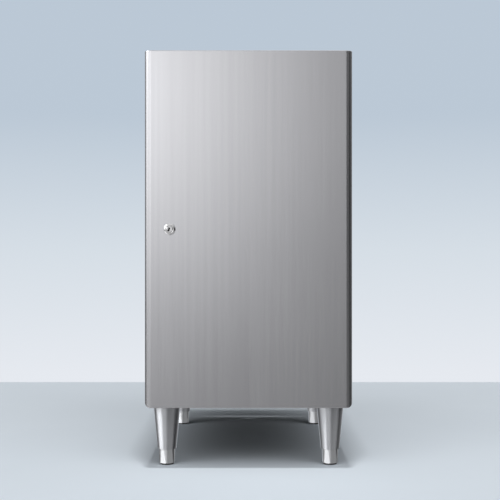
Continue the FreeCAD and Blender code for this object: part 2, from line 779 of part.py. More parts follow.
nodes = {
    "left_side_panel": left_side_panel(),
    "right_side_panel": right_side_panel(),
    "top_deck": top_deck(),
    "bottom_pan": bottom_pan(),
    "back_panel": back_panel(),
    "lower_back_panel": lower_back_panel(),
    "deck_edge_trim": deck_edge_trim(),
    "back_edge_trim": back_edge_trim(),
    "back_grommets": back_grommets(),
    "back_panel_screws": back_panel_screws(),
    "strike_plate": strike_plate(),
    "strike_rivets": strike_rivets(),
    "hinge_fixed_leaf": hinge_leaf(1, 0, fixed_rivet_heights),
    "hinge_pin": hinge_pin(),
    "hinge_fixed_rivets": hinge_fixed_rivets(),
    "leg_gussets": at_each_leg(leg_gusset()),
    "leg_nuts": at_each_leg(leg_nut()),
    "leg_studs": at_each_leg(leg_stud()),
    "leg_inserts": at_each_leg(leg_insert()),
    "door_skin": door_skin(),
    "door_liner": door_liner(),
    "door_stiffener": door_stiffener(),
    "hinge_moving_leaf": hinge_leaf(-1, 1, moving_rivet_heights),
    "hinge_moving_rivets": hinge_moving_rivets(),
    "liner_screws": liner_screws(),
    "door_bumpers": door_bumpers(),
    "lock_housing": lock_housing(),
    "lock_washer": lock_washer(),
    "lock_nut": lock_nut(),
    "lock_plug": lock_plug(),
    "lock_cam": lock_cam(),
    "lock_cam_screw": lock_cam_screw(),
}
for corner, sleeve, foot, pad in zip(
    leg_places, at_each_leg(leg_sleeve()), at_each_leg(levelling_foot()), at_each_leg(foot_pad())
):
    nodes["leg_sleeve_" + corner] = sleeve
    nodes["foot_" + corner] = foot
    nodes["foot_pad_" + corner] = pad

os.makedirs("parts", exist_ok=True)
for name, solids in nodes.items():
    shape = Part.makeCompound(solids) if isinstance(solids, list) else solids
    shape.exportStep("parts/" + name + ".step")
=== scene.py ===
import json
import math
import bmesh
import bpy
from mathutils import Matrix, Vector

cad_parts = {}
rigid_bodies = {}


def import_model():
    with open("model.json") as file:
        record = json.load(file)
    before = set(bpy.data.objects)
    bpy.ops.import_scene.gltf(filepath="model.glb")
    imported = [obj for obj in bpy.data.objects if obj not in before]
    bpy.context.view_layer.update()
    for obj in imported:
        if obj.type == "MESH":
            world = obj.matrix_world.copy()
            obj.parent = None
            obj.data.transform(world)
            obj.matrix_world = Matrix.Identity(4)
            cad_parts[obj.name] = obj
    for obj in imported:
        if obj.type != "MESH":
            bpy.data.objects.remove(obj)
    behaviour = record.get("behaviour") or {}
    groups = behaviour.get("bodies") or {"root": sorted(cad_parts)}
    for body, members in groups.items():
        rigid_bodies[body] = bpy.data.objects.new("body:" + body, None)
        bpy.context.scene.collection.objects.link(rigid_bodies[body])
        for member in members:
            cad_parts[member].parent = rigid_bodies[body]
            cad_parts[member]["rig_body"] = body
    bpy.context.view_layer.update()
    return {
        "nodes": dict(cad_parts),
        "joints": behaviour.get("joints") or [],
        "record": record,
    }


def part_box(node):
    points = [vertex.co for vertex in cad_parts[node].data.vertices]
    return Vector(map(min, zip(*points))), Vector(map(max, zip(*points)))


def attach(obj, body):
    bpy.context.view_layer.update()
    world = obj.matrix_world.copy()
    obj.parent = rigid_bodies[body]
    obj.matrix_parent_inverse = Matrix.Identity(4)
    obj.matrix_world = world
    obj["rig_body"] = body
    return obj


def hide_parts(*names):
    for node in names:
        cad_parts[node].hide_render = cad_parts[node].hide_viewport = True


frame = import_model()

# Floor stand of an ice and water dispenser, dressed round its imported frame, in metres and degrees
corners = ("front_left", "front_right", "rear_left", "rear_right")
origin = Vector((0, 0, 0))
upwards, forwards, backwards = (0, 0, 1), (0, -1, 0), (0, 1, 0)
tiny = 1e-5  # places closer than this are level
speck = 1e-6  # points closer than this are one
inLine = 0.999  # an edge with this share of its run along an axis follows it
facing = 0.9  # a face with this share of its normal along an axis faces it
lockAxis = Vector(next(j["pos_m"] for j in frame["joints"] if j["name"] == "lock_turn"))
slotOf = {part["node"]: part["material_slot"] for part in frame["record"]["subparts"]}
print("frame loaded:", len(frame["nodes"]), "nodes")


def clearSelection():
    if bpy.context.object and bpy.context.object.mode != "OBJECT":
        bpy.ops.object.mode_set(mode="OBJECT")
    bpy.ops.object.select_all(action="DESELECT")


def makeActive(piece):
    clearSelection()
    piece.select_set(True)
    bpy.context.view_layer.objects.active = piece


def removePiece(piece):
    makeActive(piece)
    bpy.ops.object.delete()


def startEdit(piece):
    makeActive(piece)
    bpy.ops.object.mode_set(mode="EDIT")
    bpy.ops.mesh.select_mode(type="VERT")
    bpy.ops.mesh.select_all(action="SELECT")


def endEdit():
    bpy.ops.object.mode_set(mode="OBJECT")


def nameNew(name):
    # the primitive just added: its place and size go into its mesh
    piece = bpy.context.object
    piece.name = name
    piece.data.name = name
    bpy.ops.object.transform_apply(location=True, rotation=True, scale=True)
    return piece


def addBlock(name, low, high):
    clearSelection()
    low, high = Vector(low), Vector(high)
    bpy.ops.mesh.primitive_cube_add(size=1, location=(low + high) / 2, scale=high - low)
    return nameNew(name)


def addDrill(name, place, radius, depth, steps):
    # round bar from front to back, for a hole
    clearSelection()
    bpy.ops.mesh.primitive_cylinder_add(
        vertices=steps, radius=radius, depth=depth, location=place, rotation=(math.pi / 2, 0, 0)
    )
    return nameNew(name)


def pick(kind, test):
    # in edit mode, selects the points, edges or faces that pass the test
    bpy.ops.mesh.select_mode(type=kind)
    bpy.ops.mesh.select_all(action="DESELECT")
    mesh = bpy.context.object.data
    shape = bmesh.from_edit_mesh(mesh)
    for part in {"VERT": shape.verts, "EDGE": shape.edges, "FACE": shape.faces}[kind]:
        part.select_set(test(part))
    bmesh.update_edit_mesh(mesh)


def roundPicked(radius, steps):
    bpy.ops.mesh.bevel(offset=radius, offset_type="OFFSET", segments=steps, affect="EDGES")


def edgeMiddle(edge):
    return (edge.verts[0].co + edge.verts[1].co) / 2


def runsAlong(edge, axis):
    run = (edge.verts[1].co - edge.verts[0].co).normalized()
    return abs(run.dot(Vector(axis))) > inLine


def liesLevel(edge, height):
    return all(abs(v.co.z - height) < tiny for v in edge.verts)


def applyModifier(piece, kind, **settings):
    makeActive(piece)
    modifier = piece.modifiers.new(kind.lower(), kind)
    for key, value in settings.items():
        setattr(modifier, key, value)
    bpy.ops.object.modifier_apply(modifier=modifier.name)


def softenEdges(piece, width, steps=3, sharpest=40):
    # bevels every edge that turns by more than the angle
    limit = math.radians(sharpest)
    applyModifier(piece, "BEVEL", width=width, segments=steps, limit_method="ANGLE", angle_limit=limit)


def carve(piece, tool, operation="DIFFERENCE"):
    applyModifier(piece, "BOOLEAN", object=tool, operation=operation, solver="EXACT")
    removePiece(tool)


def joinPieces(name, group):
    makeActive(group[0])
    for piece in group:
        piece.select_set(True)
    if len(group) > 1:
        bpy.ops.object.join()
    return nameNew(name)


def copyTo(piece, shift):
    makeActive(piece)
    bpy.ops.object.duplicate()
    bpy.ops.transform.translate(value=shift)
    return nameNew(piece.name + "Copy")


def arcRun(centre, radius, start, end, steps, rise=None):
    # points of an arc in a turning profile, by its angle from outwards towards the axis's end;
    # a rise other than the radius makes it oval
    rise = rise or radius
    angles = [math.radians(start + (end - start) * k / steps) for k in range(steps + 1)]
    return [(centre[0] + radius * math.cos(a), centre[1] + rise * math.sin(a)) for a in angles]


def domeRun(radius, rim, top, steps):
    # crown of a turned piece, from the axis down to its rim
    angles = [math.radians(90 * k / steps) for k in range(steps + 1)]
    return [(radius * math.sin(a), rim + (top - rim) * math.cos(a)) for a in angles]


def drawLoop(name, points):
    # closed line drawn point by point, left in edit mode with all of it selected
    clearSelection()
    bpy.ops.mesh.primitive_plane_add(size=0.01, location=points[0])  # small, and merged into one point
    piece = nameNew(name)
    startEdit(piece)
    bpy.ops.mesh.merge(type="CENTER")
    for start, end in zip(points, points[1:]):
        bpy.ops.mesh.extrude_region_move(TRANSFORM_OT_translate={"value": end - start})
    pick("VERT", lambda v: min((v.co - points[0]).length, (v.co - points[-1]).length) < speck)
    bpy.ops.mesh.edge_face_add()
    bpy.ops.mesh.select_all(action="SELECT")
    return piece


def turnOnLathe(name, profile, centre, axis, steps):
    # profile of (radius, height) points, spun about the axis
    centre, axis = Vector(centre), Vector(axis)
    points = [centre + Vector((radius, 0, 0)) + axis * height for radius, height in profile]
    piece = drawLoop(name, points)
    bpy.ops.mesh.spin(steps=steps, angle=2 * math.pi, center=centre, axis=axis)
    bpy.ops.mesh.select_all(action="SELECT")
    bpy.ops.mesh.remove_doubles(threshold=speck)
    bpy.ops.mesh.normals_make_consistent(inside=False)
    endEdit()
    return piece


def pushOut(name, points, run):
    # flat outline pushed out into a bar
    bar = drawLoop(name, points)
    bpy.ops.mesh.edge_face_add()
    bpy.ops.mesh.extrude_region_move(TRANSFORM_OT_translate={"value": run})
    bpy.ops.mesh.select_all(action="SELECT")
    bpy.ops.mesh.normals_make_consistent(inside=False)
    endEdit()
    return bar


def seatsOf(node, apart):
    # boxes of the separate solids in a group, told apart by the gap between them
    groups = []
    for vertex in frame["nodes"][node].data.vertices:
        near = [g for g in groups if (g[0] - vertex.co).length < apart]
        if near:
            near[0].append(vertex.co.copy())
        else:
            groups.append([vertex.co.copy()])
    lows = [Vector(map(min, zip(*g))) for g in groups]
    highs = [Vector(map(max, zip(*g))) for g in groups]
    return list(zip(lows, highs))


def middleOf(low, high, **fixed):
    # middle of a box, with any of x, y and z put where it is given
    place = (low + high) / 2
    for axis, value in fixed.items():
        setattr(place, axis, value)
    return place


def setInputs(tree, node, inputs):
    # each input takes a value or another node's output
    for key, value in inputs.items():
        if isinstance(value, bpy.types.NodeSocket):
            tree.links.new(value, node.inputs[key])
        else:
            node.inputs[key].default_value = value


def addNode(tree, kind, inputs=(), **settings):
    node = tree.nodes.new(kind)
    for key, value in settings.items():
        setattr(node, key, value)
    setInputs(tree, node, dict(inputs))
    return node


def rescale(tree, value, source, target=(0, 1), **settings):
    limits = {"From Min": source[0], "From Max": source[1], "To Min": target[0], "To Max": target[1]}
    return addNode(tree, "ShaderNodeMapRange", {"Value": value, **limits}, **settings).outputs["Result"]


def average(tree, first, second, share=0.5):
    mixed = addNode(tree, "ShaderNodeMix", {"Factor": share, "A": first, "B": second}, data_type="FLOAT")
    return mixed.outputs["Result"]


def mixColours(tree, share, first, second, **settings):
    # a Mix node's colour sockets go by number, because their names stand there more than once
    sockets = {0: share, 6: first, 7: second}
    return addNode(tree, "ShaderNodeMix", sockets, data_type="RGBA", **settings).outputs[2]


def newFinish(name):
    finish = bpy.data.materials.new(name)
    finish.use_nodes = True
    return finish, finish.node_tree, finish.node_tree.nodes["Principled BSDF"]


def speckle(tree, stretch, detail, shift=(0, 0, 0)):
    # noise on the object's own metres, stretched by cycles per metre along each axis
    place = addNode(tree, "ShaderNodeTexCoord").outputs["Object"]
    stretched = addNode(tree, "ShaderNodeMapping", {"Vector": place, "Scale": stretch, "Location": shift})
    noise = {"Vector": stretched.outputs["Vector"], "Scale": 1.0, "Detail": detail}
    return addNode(tree, "ShaderNodeTexNoise", noise).outputs["Fac"]


def span(tree, pattern, limits=(0, 1)):
    # noise keeps near its middle, so that part is spread over the wanted range
    noiseMiddle = (0.3, 0.7)
    return rescale(tree, pattern, noiseMiddle, limits)


def shades(tree, pattern, dark, light):
    return mixColours(tree, pattern, (*dark, 1), (*light, 1))


def relief(tree, height, look):
    bump = {"Height": height, "Strength": look["bump"], "Distance": look["bumpDepth"]}
    return addNode(tree, "ShaderNodeBump", bump).outputs["Normal"]


# Metal finishes: cycles per metre of grain, streak and cloud, and the range of each colour and gloss
metalMix = {
    "grainDetail": 4.0,
    "broadDetail": 2.0,
    "streakShift": (3.1, 1.7, 0.4),  # keeps the patterns from running together
    "cloudShift": (0.6, 4.2, 2.5),
    "cloudShare": 0.3,
}
doorSteelLook = {
    "grain": (1400, 1400, 14), "streak": (110, 110, 1.2), "cloud": (5, 5, 3),
    "dark": (0.552, 0.553, 0.578), "light": (0.620, 0.622, 0.646),
    "roughness": (0.22, 0.27), "bump": 0.04, "bumpDepth": 0.00004,
}
cabinetSteelLook = dict(
    doorSteelLook, dark=(0.53, 0.53, 0.545), light=(0.60, 0.60, 0.61), roughness=(0.28, 0.38)
)
backSteelLook = {
    "grain": (700, 30, 30), "streak": (9, 9, 9), "cloud": (4, 4, 4),
    "dark": (0.52, 0.53, 0.54), "light": (0.60, 0.605, 0.61),
    "roughness": (0.30, 0.42), "bump": 0.05, "bumpDepth": 0.00004,
}
linerSteelLook = dict(backSteelLook, dark=(0.53, 0.535, 0.545), light=(0.605, 0.61, 0.62))
hingeSteelLook = {
    "grain": (900, 900, 40), "streak": (60, 60, 8), "cloud": (20, 20, 20),
    "dark": (0.57, 0.57, 0.57), "light": (0.62, 0.62, 0.62),
    "roughness": (0.28, 0.34), "bump": 0.03, "bumpDepth": 0.00003,
}
zincLook = {
    "grain": (2200, 2200, 2200), "streak": (260, 260, 260), "cloud": (60, 60, 60),
    "dark": (0.58, 0.585, 0.575), "light": (0.66, 0.66, 0.635),
    "roughness": (0.27, 0.36), "bump": 0.03, "bumpDepth": 0.00002,
}
chromeLook = {
    "grain": (1500, 1500, 1500), "streak": (90, 90, 90), "cloud": (150, 150, 150),
    "dark": (0.77, 0.77, 0.78), "light": (0.83, 0.83, 0.84),
    "roughness": (0.05, 0.11), "bump": 0.01, "bumpDepth": 0.00002,
}
legLook = {
    "grain": (10, 10, 1800), "streak": (30, 30, 60), "cloud": (25, 25, 12),
    "dark": (0.575, 0.59, 0.62), "light": (0.625, 0.64, 0.67),
    "roughness": (0.36, 0.40), "bump": 0.004, "bumpDepth": 0.00002,
    "spread": 1.0, "spreadTurn": 0.25,  # stretch of the highlights, and its share of a turn from the girth
}
footLook = dict(
    legLook, dark=(0.665, 0.68, 0.70), light=(0.725, 0.74, 0.76), roughness=(0.32, 0.36), spread=0.9
)


def metalFinish(name, look):
    # sheet or bar metal: fine grain, broad streaks and faint clouds in colour and gloss
    finish, tree, shader = newFinish(name)
    fine = speckle(tree, look["grain"], metalMix["grainDetail"])
    broad = speckle(tree, look["streak"], metalMix["broadDetail"], metalMix["streakShift"])
    cloud = speckle(tree, look["cloud"], metalMix["broadDetail"], metalMix["cloudShift"])
    tone = span(tree, average(tree, average(tree, fine, broad), cloud, metalMix["cloudShare"]))
    setInputs(tree, shader, {
        "Base Color": shades(tree, tone, look["dark"], look["light"]),
        "Roughness": span(tree, average(tree, fine, cloud), look["roughness"]),
        "Normal": relief(tree, fine, look),
        "Metallic": 1.0,
    })
    return finish


def polishedFinish(name, look):
    # turned and polished bar: its highlights stretch along the bar
    finish = metalFinish(name, look)
    tree = finish.node_tree
    girth = addNode(tree, "ShaderNodeTangent", direction_type="RADIAL", axis="Z").outputs["Tangent"]
    setInputs(tree, tree.nodes["Principled BSDF"], {
        "Tangent": girth, "Anisotropic": look["spread"], "Anisotropic Rotation": look["spreadTurn"],
    })
    return finish


# Lock plug: bright plate with fine turning marks round the axis, and painted shade that darkens the key slot
# behind the face
plugLook = {
    "ringCycles": 700.0, "ringWobble": 0.6, "smudge": (300, 300, 300), "smudgeDetail": 2.0,
    "dark": (0.50, 0.50, 0.51), "light": (0.58, 0.58, 0.59),
    "roughness": (0.12, 0.24), "bump": 0.05, "bumpDepth": 0.00003,
    # painted shade in the key slot: its colour, and how deep behind the face it runs from none to full
    "paintedSlotShade": (0.012, 0.011, 0.010), "paintedSlotShadeRun": (0.0003, 0.0012),  # from none to full, behind the face
}


def plugFinish(name, look):
    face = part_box("lock_plug")[0].y
    finish, tree, shader = newFinish(name)
    place = addNode(tree, "ShaderNodeTexCoord").outputs["Object"]
    centred = addNode(tree, "ShaderNodeMapping", {"Vector": place, "Location": -lockAxis}).outputs["Vector"]
    wave = {"Vector": centred, "Scale": look["ringCycles"], "Distortion": look["ringWobble"]}
    rings = addNode(tree, "ShaderNodeTexWave", wave, wave_type="RINGS", rings_direction="Y").outputs["Fac"]
    tone = average(tree, rings, speckle(tree, look["smudge"], look["smudgeDetail"]))
    inward = addNode(tree, "ShaderNodeSeparateXYZ", {"Vector": place}).outputs["Y"]
    # painted shade: the plate turns dark and matt with depth behind its face, inside the key slot
    paintedSlotShade = rescale(tree, inward, [face + depth for depth in look["paintedSlotShadeRun"]])
    plate = shades(tree, tone, look["dark"], look["light"])
    setInputs(tree, shader, {
        "Base Color": mixColours(tree, paintedSlotShade, plate, (*look["paintedSlotShade"], 1)),
        "Roughness": average(tree, span(tree, tone, look["roughness"]), paintedSlotShade),
        "Normal": relief(tree, rings, look),
        "Metallic": 1.0,
    })
    return finish


# Rubbers: matt, with a fine moulded grain and paler scuffs
trimRubberLook = {
    "grain": (2500, 2500, 2500), "grainDetail": 2.0, "scuff": (140, 140, 140), "scuffDetail": 4.0,
    "dark": (0.018, 0.018, 0.02), "light": (0.04, 0.04, 0.043),
    "roughness": (0.62, 0.82), "bump": 0.25, "bumpDepth": 0.00012,
}
padRubberLook = dict(trimRubberLook, dark=(0.012, 0.012, 0.013), light=(0.03, 0.03, 0.032))


def rubberFinish(name, look):
    finish, tree, shader = newFinish(name)
    grain = speckle(tree, look["grain"], look["grainDetail"])
    scuff = speckle(tree, look["scuff"], look["scuffDetail"])
    setInputs(tree, shader, {
        "Base Color": shades(tree, span(tree, scuff), look["dark"], look["light"]),
        "Roughness": span(tree, average(tree, grain, scuff), look["roughness"]),
        "Normal": relief(tree, grain, look),
    })
    return finish


finishes = {
    "cabinet_steel": metalFinish("cabinetSteel", cabinetSteelLook),
    "back_steel": metalFinish("backSteel", backSteelLook),
    "door_steel": metalFinish("doorSteel", doorSteelLook),
    "liner_steel": metalFinish("linerSteel", linerSteelLook),
    "hinge_steel": metalFinish("hingeSteel", hingeSteelLook),
    "zinc_hardware": metalFinish("zincPlate", zincLook),
    "lock_chrome": metalFinish("lockChrome", chromeLook),
    "plug_chrome": plugFinish("plugNickel", plugLook),
    "leg_polish": polishedFinish("legPolish", legLook),
    "foot_polish": polishedFinish("footPolish", footLook),
    "pad_rubber": rubberFinish("padRubber", padRubberLook),
    "black_rubber": rubberFinish("trimRubber", trimRubberLook),
}
for node, piece in frame["nodes"].items():
    for place in piece.material_slots:
        place.material = finishes[slotOf[node]]
print("finishes made:", len(finishes))


def settle(piece, node, smoothAngle):
    # smooth shading, then the piece stands for its node, on the node's body and in its slot
    makeActive(piece)
    bpy.ops.object.shade_smooth_by_angle(angle=math.radians(smoothAngle))
    applyModifier(piece, "WEIGHTED_NORMAL", keep_sharp=True)
    piece.data.materials.clear()
    piece.data.materials.append(finishes[slotOf[node]])
    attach(piece, frame["nodes"][node]["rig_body"])
    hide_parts(node)
    print("piece:", piece.name, "for", node, len(piece.data.polygons), "faces")


def plant(pattern, node, name, shifts, smoothAngle):
    # copies of the pattern at every seat make one piece
    piece = joinPieces(name, [copyTo(pattern, shift) for shift in shifts])
    removePiece(pattern)
    settle(piece, node, smoothAngle)


# Door: one folded sheet with round upright edges and round bottom corners
door = {
    "sheet": 0.001,
    "frontRadius": 0.013,
    "rearRadius": 0.003,
    "rearSteps": 5,
    "cornerRadius": 0.012,  # seen from the front
    "arcSteps": 14,  # of the front edges and the corners
    "edgeRadius": 0.0015,  # top and bottom
    "edgeSteps": 4,
    "lip": 0.024,
    "lockHole": 0.00965,
    "lockHoleSteps": 64,
    "smooth": 35,
}


def doorEnvelope(name, inset):
    # the door as a full block, or the hollow in its sheet when drawn in by the sheet
    low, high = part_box("door_skin")
    low, high = low + Vector((inset,) * 3), high - Vector((inset,) * 3)
    block = addBlock(name, low, high)
    startEdit(block)
    front = (low.y, door["frontRadius"], door["arcSteps"])
    rear = (high.y, door["rearRadius"], door["rearSteps"])
    for y, radius, steps in (front, rear):
        pick("EDGE", lambda e: runsAlong(e, upwards) and abs(edgeMiddle(e).y - y) < tiny)
        roundPicked(radius - inset, steps)
    for z in (low.z, high.z):
        pick("EDGE", lambda e: liesLevel(e, z) and edgeMiddle(e).y < high.y - tiny)
        roundPicked(door["edgeRadius"] - inset, door["edgeSteps"])
    endEdit()
    past = Vector((tiny, door["frontRadius"], tiny))
    outline = addBlock("doorOutline", low - past, high + past)
    startEdit(outline)
    pick("EDGE", lambda e: runsAlong(e, backwards) and edgeMiddle(e).z < lockAxis.z)
    roundPicked(door["cornerRadius"] - inset, door["arcSteps"])
    endEdit()
    carve(block, outline, "INTERSECT")
    return block


def buildDoor():
    low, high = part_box("door_skin")
    sheet, lip = door["sheet"], door["lip"]
    shell = doorEnvelope("doorShell", 0)
    carve(shell, doorEnvelope("doorHollow", sheet))
    windowLow = Vector((low.x + lip, high.y - 2 * sheet, low.z + lip))
    windowHigh = Vector((high.x - lip, high.y + sheet, high.z - lip))
    carve(shell, addBlock("doorWindow", windowLow, windowHigh))
    lockPlace = (lockAxis.x, low.y, lockAxis.z)
    carve(shell, addDrill("lockHoleDrill", lockPlace, door["lockHole"], 4 * sheet, door["lockHoleSteps"]))
    settle(shell, "door_skin", door["smooth"])


buildDoor()


# Legs: tapered sleeve, levelling foot with six flats and a threaded stem, rubber pad
leg = {
    "bottomRadius": 0.019,
    "wall": 0.002,
    "cap": 0.003,
    "rim": 0.0007,  # rounding of the lower rim
    "rimSteps": 5,
    "studHole": 0.00615,
    "steps": 128,
    "smooth": 40,
}
foot = {
    "baseRadius": 0.016,
    "collarRadius": 0.0164,
    "collarTop": 0.0343,
    "edgeRadius": 0.0015,
    "edgeSteps": 5,
    "flats": 6,
    "flatReach": 0.0147,  # axis to a flat, at the lower end
    "flatTurn": 28.0,
    "flatPast": 0.1,  # share of their height that the flats are cut past both ends
    "stemCore": 0.0069,
    "stemRadius": 0.008,
    "stemSteps": 48,
    "pitch": 0.002,
    "threadSink": 0.0004,
    "threadSteps": 40,
    "socket": 0.00405,
    "socketTop": 0.010,
    "steps": 96,
    "smooth": 14,
}
pad = {
    "thickness": 0.003,
    "edge": 0.0006,
    "softened": 0.0002,
    "sharpest": 30,
    "spigot": 0.004,
    "steps": 96,
    "smooth": 40,
}
ridge = {"foot": 0.46, "crest": 0.08}  # half heights of a thread's ridge, in pitches


def legPlace(corner):
    return middleOf(*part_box("leg_sleeve_" + corner), z=0)


def buildSleeve(centre):
    low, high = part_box("leg_sleeve_" + corners[0])
    topRadius, wall, rim = (high.x - low.x) / 2, leg["wall"], leg["rim"]
    outer = leg["bottomRadius"]
    profile = arcRun((outer - rim, low.z + rim), rim, 0, -90, leg["rimSteps"])
    profile += arcRun((outer - wall + rim, low.z + rim), rim, -90, -180, leg["rimSteps"])
    profile += [(topRadius - wall, high.z - leg["cap"]), (leg["studHole"], high.z - leg["cap"])]
    profile += [(leg["studHole"], high.z), (topRadius, high.z)]
    return turnOnLathe("legSleeve", profile, centre, upwards, leg["steps"])


def buildFoot(centre):
    low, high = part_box("foot_" + corners[0])
    base, top, edge = low.z, foot["collarTop"], foot["edgeRadius"]
    profile = [(foot["socket"], foot["socketTop"]), (foot["socket"], base)]
    profile += arcRun((foot["baseRadius"] - edge, base + edge), edge, -90, 0, foot["edgeSteps"])
    profile += [(foot["collarRadius"], top), (0, top), (0, foot["socketTop"])]
    body = turnOnLathe("levellingFoot", profile, centre, upwards, foot["steps"])
    halfFlat = math.pi / foot["flats"]
    past = foot["flatPast"] * (top - base)
    slope = (foot["collarRadius"] - foot["flatReach"]) / (top - base)
    clearSelection()
    bpy.ops.mesh.primitive_cone_add(
        vertices=foot["flats"],
        radius1=(foot["flatReach"] - slope * past) / math.cos(halfFlat),
        radius2=(foot["collarRadius"] + slope * past) / math.cos(halfFlat),
        depth=top - base + 2 * past,
        location=(centre.x, centre.y, (base + top) / 2),
        rotation=(0, 0, halfFlat - math.radians(foot["flatTurn"])),
    )
    carve(body, nameNew("footFlats"), "INTERSECT")
    stem = buildStem(centre, top, high.z)
    return joinPieces("levellingFoot", [body, stem, buildThread(foot, centre, top, high.z)])


def buildStem(centre, bottom, top):
    core, point = foot["stemCore"], foot["pitch"] / 2
    profile = [(0, bottom - point), (core, bottom - point), (core, top - point), (core - point, top), (0, top)]
    return turnOnLathe("footStem", profile, centre, upwards, foot["stemSteps"])


def buildThread(look, centre, bottom, top):
    # one ridge wound up the stem, a turn for each pitch, with its foot sunk in the stem
    pitch, inside, outside = look["pitch"], look["stemCore"] - look["threadSink"], look["stemRadius"]
    outline = [(inside, -ridge["foot"]), (outside, -ridge["crest"])]
    outline += [(outside, ridge["crest"]), (inside, ridge["foot"])]
    thread = drawLoop("threadRidge", [Vector((radius, 0, height * pitch)) for radius, height in outline])
    endEdit()
    turns = int((top - bottom) / pitch) - 1
    applyModifier(
        thread, "SCREW", axis="Z", angle=2 * math.pi, screw_offset=pitch, iterations=turns,
        steps=look["threadSteps"], render_steps=look["threadSteps"], use_merge_vertices=True,
    )
    startEdit(thread)
    bpy.ops.mesh.select_mode(type="EDGE")
    bpy.ops.mesh.select_all(action="DESELECT")
    bpy.ops.mesh.select_non_manifold()
    bpy.ops.mesh.fill()
    bpy.ops.mesh.select_all(action="SELECT")
    bpy.ops.mesh.normals_make_consistent(inside=False)
    bpy.ops.transform.translate(value=(centre.x, centre.y, bottom + pitch / 2))
    endEdit()
    return thread


def buildPad(centre):
    low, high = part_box("foot_pad_" + corners[0])
    radius, edge = (high.x - low.x) / 2, pad["edge"]
    profile = [(0, 0), (radius - edge, 0), (radius, edge), (radius, pad["thickness"])]
    profile += [(pad["spigot"], pad["thickness"]), (pad["spigot"], high.z), (0, high.z)]
    piece = turnOnLathe("footPad", profile, centre, upwards, pad["steps"])
    softenEdges(piece, pad["softened"], sharpest=pad["sharpest"])
    return piece


def buildLegs():
    # each piece is made at the first corner and copied to the others
    first = legPlace(corners[0])
    makers = {
        "leg_sleeve_": (buildSleeve, "legSleeve", leg["smooth"]),
        "foot_": (buildFoot, "levellingFoot", foot["smooth"]),
        "foot_pad_": (buildPad, "footPad", pad["smooth"]),
    }
    for start, (build, name, smoothAngle) in makers.items():
        pattern = build(first)
        for corner in corners:
            piece = copyTo(pattern, legPlace(corner) - first)
            piece.name = piece.data.name = name + corner.title().replace("_", "")
            settle(piece, start + corner, smoothAngle)
        removePiece(pattern)


buildLegs()


# Lock: domed housing through the door, and a plug with a stepped key slot
lock = {
    "headRadius": 0.0116,
    "ringRadius": 0.0078,  # crest of the dome
    "domeSteps": 12,
    "grooveRadius": 0.0073,
    "grooveDepth": 0.0008,
    "lipDepth": 0.0001,  # of the inner edge, round the plug
    "rim": 0.0007,  # straight edge next to the door
    "edge": 0.00015,
    "edgeSteps": 2,
    "sharpest": 30,
    "barrelRadius": 0.0095,
    "bore": 0.00575,
    "plugRadius": 0.0057,
    "plugEdge": 0.0003,
    "slotWidth": 0.0034,
    "slotHeight": 0.0076,
    "slotFoot": (0.0006, 0.0030),  # how far it steps aside, and its height
    "slotShift": (-0.0010, 0, -0.0007),
    "slotDepth": 0.022,
    "slotAhead": 0.0022,  # how far before the face the cut starts
    "slotTilt": 14.0,  # clockwise from upright
    "tailSide": 0.0034,  # half of the square that carries the cam
    "camScrewHole": 0.00215,
    "camScrewDepth": 0.009,
    "camScrewSteps": 32,
    "steps": 96,
    "smooth": 30,
}


def buildLockHousing():
    low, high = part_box("lock_housing")
    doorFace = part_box("door_skin")[0].y
    proud, depth = doorFace - low.y, high.y - doorFace
    head, ring, rim = lock["headRadius"], lock["ringRadius"], lock["rim"]
    bore, barrel = lock["bore"], lock["barrelRadius"]
    profile = [(bore, -depth), (barrel, -depth), (barrel, 0), (head, 0)]
    profile += arcRun((ring, rim), head - ring, 0, 90, lock["domeSteps"], proud - rim)
    profile += [(lock["grooveRadius"], proud - lock["grooveDepth"]), (bore, proud - lock["lipDepth"])]
    place = (lockAxis.x, doorFace, lockAxis.z)
    housing = turnOnLathe("lockHousing", profile, place, forwards, lock["steps"])
    softenEdges(housing, lock["edge"], lock["edgeSteps"], lock["sharpest"])
    settle(housing, "lock_housing", lock["smooth"])


def buildLockPlug():
    low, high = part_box("lock_plug")
    length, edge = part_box("lock_cam")[0].y - low.y, lock["plugEdge"]
    radius, side = lock["plugRadius"], lock["tailSide"]
    profile = [(0, 0), (radius - edge, 0), (radius, -edge), (radius, -length), (0, -length)]
    place = Vector((lockAxis.x, low.y, lockAxis.z))
    plug = turnOnLathe("lockPlug", profile, place, forwards, lock["steps"])
    tailLow, tailHigh = Vector((-side, length - edge, -side)), Vector((side, high.y - low.y, side))
    carve(plug, addBlock("plugTail", place + tailLow, place + tailHigh), "UNION")
    screwPlace, screwDepth = (lockAxis.x, high.y, lockAxis.z), 2 * lock["camScrewDepth"]
    carve(plug, addDrill("camScrewDrill", screwPlace, lock["camScrewHole"], screwDepth, lock["camScrewSteps"]))
    carve(plug, keySlotTool(place))
    settle(plug, "lock_plug", lock["smooth"])


def keySlotTool(place):
    # stepped slot, tilted about the lock's axis
    side, end = lock["slotWidth"] / 2, lock["slotHeight"] / 2
    step, heel = lock["slotFoot"]
    outline = [(-side, end), (side, end), (side, -end), (-side - step, -end)]
    outline += [(-side - step, heel - end), (-side, heel - end)]
    slotPlace = place + Vector(lock["slotShift"])
    points = [slotPlace + Vector((x, -lock["slotAhead"], z)) for x, z in outline]
    tool = pushOut("keySlot", points, Vector((0, lock["slotAhead"] + lock["slotDepth"], 0)))
    startEdit(tool)
    bpy.ops.transform.rotate(value=-math.radians(lock["slotTilt"]), orient_axis="Y", center_override=place)
    endEdit()
    return tool


buildLockHousing()
buildLockPlug()


def faceBack(piece, headSide):
    # a piece made upright is laid along Y, its top to the back or to the front
    makeActive(piece)
    piece.rotation_euler = (-headSide * math.pi / 2, 0, 0)
    bpy.ops.object.transform_apply(location=False, rotation=True, scale=False)


